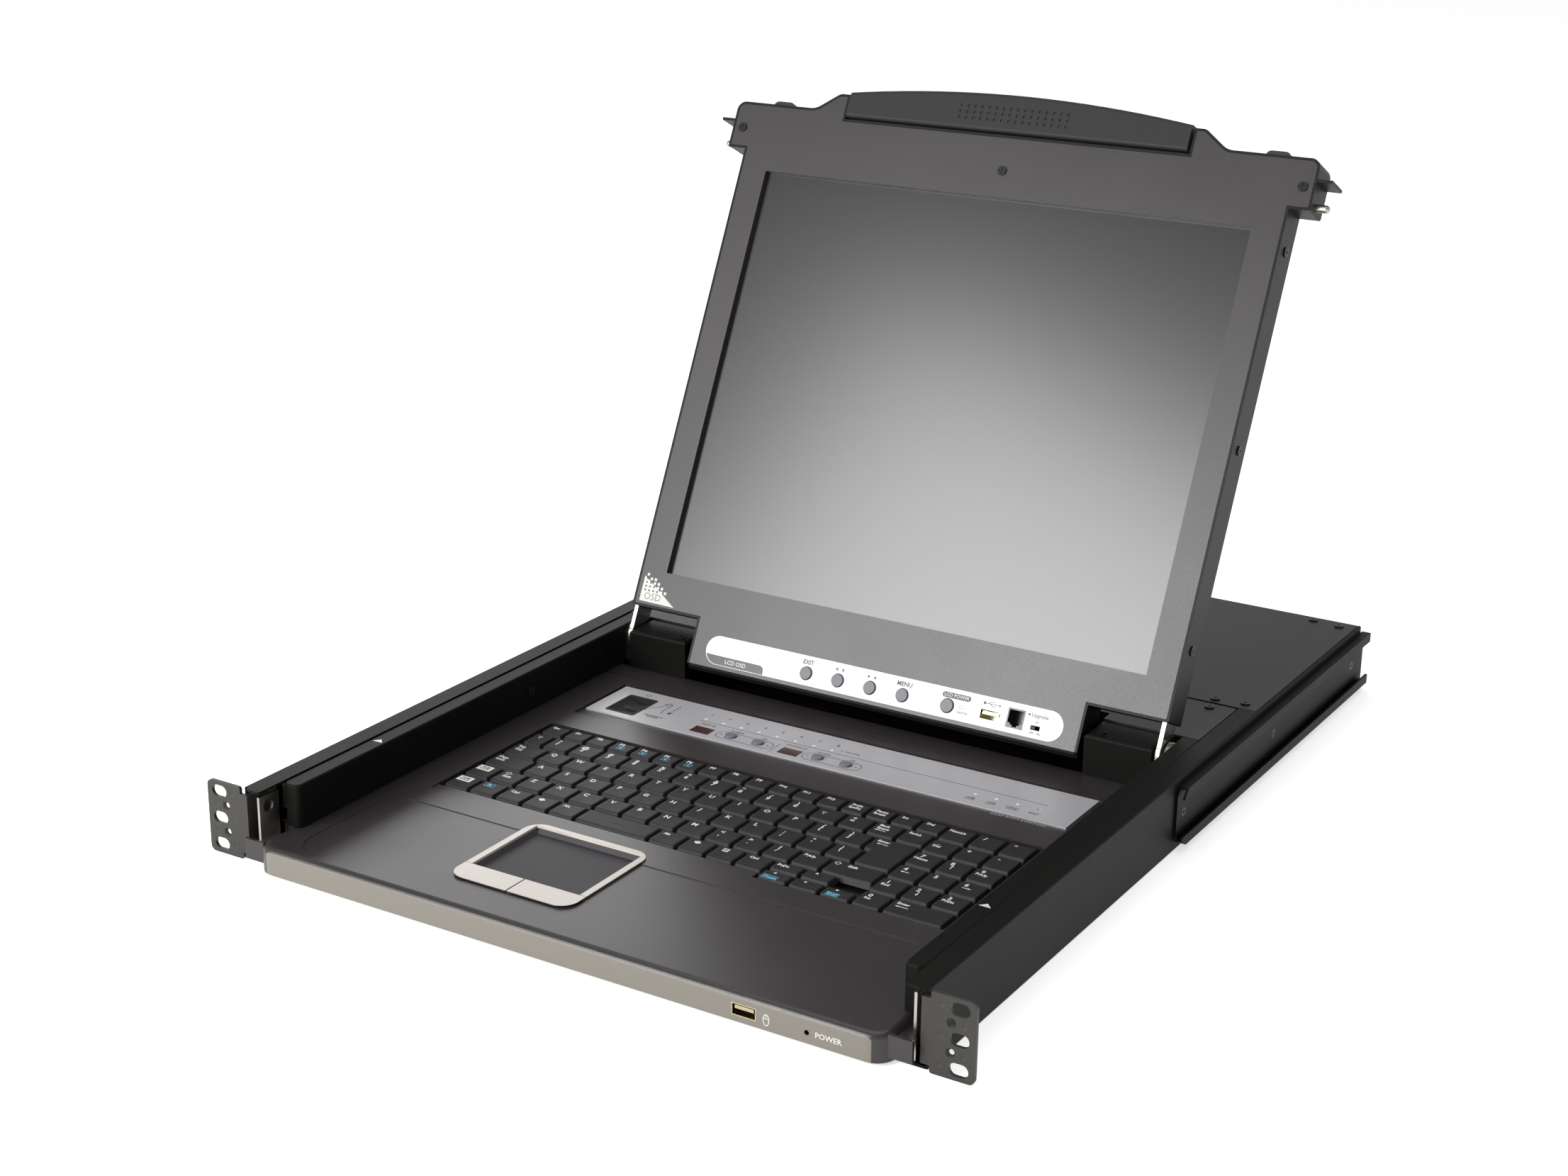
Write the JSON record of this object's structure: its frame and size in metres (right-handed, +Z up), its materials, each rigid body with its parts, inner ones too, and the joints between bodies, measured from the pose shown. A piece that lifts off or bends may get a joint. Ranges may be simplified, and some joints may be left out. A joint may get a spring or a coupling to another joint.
{
  "type": "rackmount lcd console drawer",
  "caption": "Rack drawer whose fold-up flat screen and separate keyboard tray slide out of a shallow steel frame with slotted ears and a rear box of sockets.",
  "frame": {"origin": "centre of the rack-hole pattern on the front face of the ears, at mid height", "axes": "+X to the right seen from the front, +Y into the rack, +Z up"},
  "size_m": [0.4826, 0.612, 0.3837],
  "materials": {
    "frame_paint": "fine matte black powder coat",
    "ear_paint": "grey-black coat over steel",
    "cover_paint": "satin black powder coat",
    "display_paint": "fine textured charcoal paint",
    "bare_steel": "bright zinc plate",
    "socket_metal": "bright tinned shell",
    "black_moulding": "moulded",
    "circuit_board": "solder mask",
    "black_screws": "black oxide",
    "screen": "matte anti-glare",
    "handle_plastic": "soft satin",
    "strip_face": "satin pale grey",
    "strip_buttons": "silver paint",
    "deck_plastic": "fine grain",
    "panel_metal": "satin",
    "panel_plastic": "satin",
    "bright_rim": "satin silver",
    "touch_surface": "very fine matte",
    "key_plastic": "satin"
  },
  "bodies": {
    "frame": {"left_side_rail": "frame_paint", "right_side_rail": "frame_paint", "left_rack_ear": "ear_paint", "right_rack_ear": "ear_paint", "catch_plates": "bare_steel", "slide_channels": "bare_steel", "rear_channels": "frame_paint", "rear_tray": "frame_paint", "rear_cover": "cover_paint", "rear_panel": "frame_paint", "rear_sockets": "socket_metal", "power_inlet": "black_moulding", "power_supply": "bare_steel", "switch_board": "circuit_board", "frame_screws": "black_screws"},
    "power_switch": {"power_switch": "black_moulding"},
    "display_carriage": {"left_carriage_wall": "frame_paint", "right_carriage_wall": "frame_paint", "tie_plate": "cover_paint", "hinge_covers": "frame_paint", "hinge_brackets": "bare_steel", "display_slide_runners": "bare_steel", "carriage_screws": "black_screws"},
    "display": {"display_shell": "display_paint", "bezel_plate": "display_paint", "screen_panel": "screen", "handle_grip": "handle_plastic", "hinge_arms": "bare_steel", "osd_strip": "strip_face", "osd_sockets": "socket_metal", "display_screws": "black_screws"},
    "left_catch": {"left_catch": "bare_steel"},
    "right_catch": {"right_catch": "bare_steel"},
    "osd_button_1": {"osd_button_1": "strip_buttons"},
    "osd_button_2": {"osd_button_2": "strip_buttons"},
    "osd_button_3": {"osd_button_3": "strip_buttons"},
    "osd_button_4": {"osd_button_4": "strip_buttons"},
    "display_power_button": {"display_power_button": "strip_buttons"},
    "osd_slide_switch": {"osd_slide_switch": "black_moulding"},
    "keyboard": {"keyboard_deck": "deck_plastic", "keyboard_base": "frame_paint", "keyboard_slide_runners": "bare_steel", "key_plate": "black_screws", "led_panel": "panel_metal", "fingerprint_reader": "panel_plastic", "touchpad_ring": "bright_rim", "touchpad": "touch_surface", "front_usb_socket": "socket_metal"},
    "panel_button_1": {"panel_button_1": "panel_plastic"},
    "panel_button_2": {"panel_button_2": "panel_plastic"},
    "panel_button_3": {"panel_button_3": "panel_plastic"},
    "panel_button_4": {"panel_button_4": "panel_plastic"},
    "touchpad_left_button": {"touchpad_left_button": "bright_rim"},
    "touchpad_right_button": {"touchpad_right_button": "bright_rim"},
    "function_keys": {"function_keys": "key_plastic"},
    "number_keys": {"number_keys": "key_plastic"},
    "letter_keys": {"letter_keys": "key_plastic"},
    "control_keys": {"control_keys": "key_plastic"},
    "space_bar": {"space_bar": "key_plastic"},
    "numpad_keys": {"numpad_keys": "key_plastic"}
  },
  "joints": [
    {"name": "display_slide", "type": "slide", "parent": "frame", "child": "display_carriage", "axis": [0, -1, 0], "range_m": [0, 0.345]},
    {"name": "keyboard_slide", "type": "slide", "parent": "frame", "child": "keyboard", "axis": [0, -1, 0], "range_m": [0, 0.345]},
    {"name": "lcd_tilt", "type": "hinge", "parent": "display_carriage", "child": "display", "pos_m": [0, 0.343, 0.013], "axis": [1, 0, 0], "range_deg": [-4.4, 115.63]},
    {"name": "left_catch_slide", "type": "slide", "parent": "display", "child": "left_catch", "axis": [1, 0, 0], "range_m": [0, 0.008], "stiffness_N_per_m": 400, "springref_m": -0.005},
    {"name": "right_catch_slide", "type": "slide", "parent": "display", "child": "right_catch", "axis": [-1, 0, 0], "range_m": [0, 0.008], "stiffness_N_per_m": 400, "springref_m": -0.005},
    {"name": "osd_button_1_press", "type": "slide", "parent": "display", "child": "osd_button_1", "axis": [0, 0.9016, -0.4326], "range_m": [0, 0.0008], "stiffness_N_per_m": 900, "springref_m": -0.0005},
    {"name": "osd_button_2_press", "type": "slide", "parent": "display", "child": "osd_button_2", "axis": [0, 0.9016, -0.4326], "range_m": [0, 0.0008], "stiffness_N_per_m": 900, "springref_m": -0.0005},
    {"name": "osd_button_3_press", "type": "slide", "parent": "display", "child": "osd_button_3", "axis": [0, 0.9016, -0.4326], "range_m": [0, 0.0008], "stiffness_N_per_m": 900, "springref_m": -0.0005},
    {"name": "osd_button_4_press", "type": "slide", "parent": "display", "child": "osd_button_4", "axis": [0, 0.9016, -0.4326], "range_m": [0, 0.0008], "stiffness_N_per_m": 900, "springref_m": -0.0005},
    {"name": "display_power_button_press", "type": "slide", "parent": "display", "child": "display_power_button", "axis": [0, 0.9016, -0.4326], "range_m": [0, 0.0008], "stiffness_N_per_m": 900, "springref_m": -0.0005},
    {"name": "osd_slide_switch_slide", "type": "slide", "parent": "display", "child": "osd_slide_switch", "axis": [1, 0, 0], "range_m": [0, 0.0024]},
    {"name": "panel_button_1_press", "type": "slide", "parent": "keyboard", "child": "panel_button_1", "axis": [0, 0, -1], "range_m": [0, 0.0008], "stiffness_N_per_m": 900, "springref_m": -0.0005},
    {"name": "panel_button_2_press", "type": "slide", "parent": "keyboard", "child": "panel_button_2", "axis": [0, 0, -1], "range_m": [0, 0.0008], "stiffness_N_per_m": 900, "springref_m": -0.0005},
    {"name": "panel_button_3_press", "type": "slide", "parent": "keyboard", "child": "panel_button_3", "axis": [0, 0, -1], "range_m": [0, 0.0008], "stiffness_N_per_m": 900, "springref_m": -0.0005},
    {"name": "panel_button_4_press", "type": "slide", "parent": "keyboard", "child": "panel_button_4", "axis": [0, 0, -1], "range_m": [0, 0.0008], "stiffness_N_per_m": 900, "springref_m": -0.0005},
    {"name": "touchpad_left_button_press", "type": "slide", "parent": "keyboard", "child": "touchpad_left_button", "axis": [0, 0, -1], "range_m": [0, 0.0006], "stiffness_N_per_m": 900, "springref_m": -0.0005},
    {"name": "touchpad_right_button_press", "type": "slide", "parent": "keyboard", "child": "touchpad_right_button", "axis": [0, 0, -1], "range_m": [0, 0.0006], "stiffness_N_per_m": 900, "springref_m": -0.0005},
    {"name": "function_keys_press", "type": "slide", "parent": "keyboard", "child": "function_keys", "axis": [0, 0, -1], "range_m": [0, 0.0022], "stiffness_N_per_m": 1500, "springref_m": -0.001},
    {"name": "number_keys_press", "type": "slide", "parent": "keyboard", "child": "number_keys", "axis": [0, 0, -1], "range_m": [0, 0.0022], "stiffness_N_per_m": 1500, "springref_m": -0.001},
    {"name": "letter_keys_press", "type": "slide", "parent": "keyboard", "child": "letter_keys", "axis": [0, 0, -1], "range_m": [0, 0.0022], "stiffness_N_per_m": 3000, "springref_m": -0.001},
    {"name": "control_keys_press", "type": "slide", "parent": "keyboard", "child": "control_keys", "axis": [0, 0, -1], "range_m": [0, 0.0022], "stiffness_N_per_m": 1500, "springref_m": -0.001},
    {"name": "space_bar_press", "type": "slide", "parent": "keyboard", "child": "space_bar", "axis": [0, 0, -1], "range_m": [0, 0.0022], "stiffness_N_per_m": 400, "springref_m": -0.001},
    {"name": "numpad_keys_press", "type": "slide", "parent": "keyboard", "child": "numpad_keys", "axis": [0, 0, -1], "range_m": [0, 0.0022], "stiffness_N_per_m": 1500, "springref_m": -0.001},
    {"name": "power_switch_rock", "type": "hinge", "parent": "frame", "child": "power_switch", "pos_m": [-0.148, 0.594, 0], "axis": [0, 0, 1], "range_deg": [0, 16]}
  ]
}
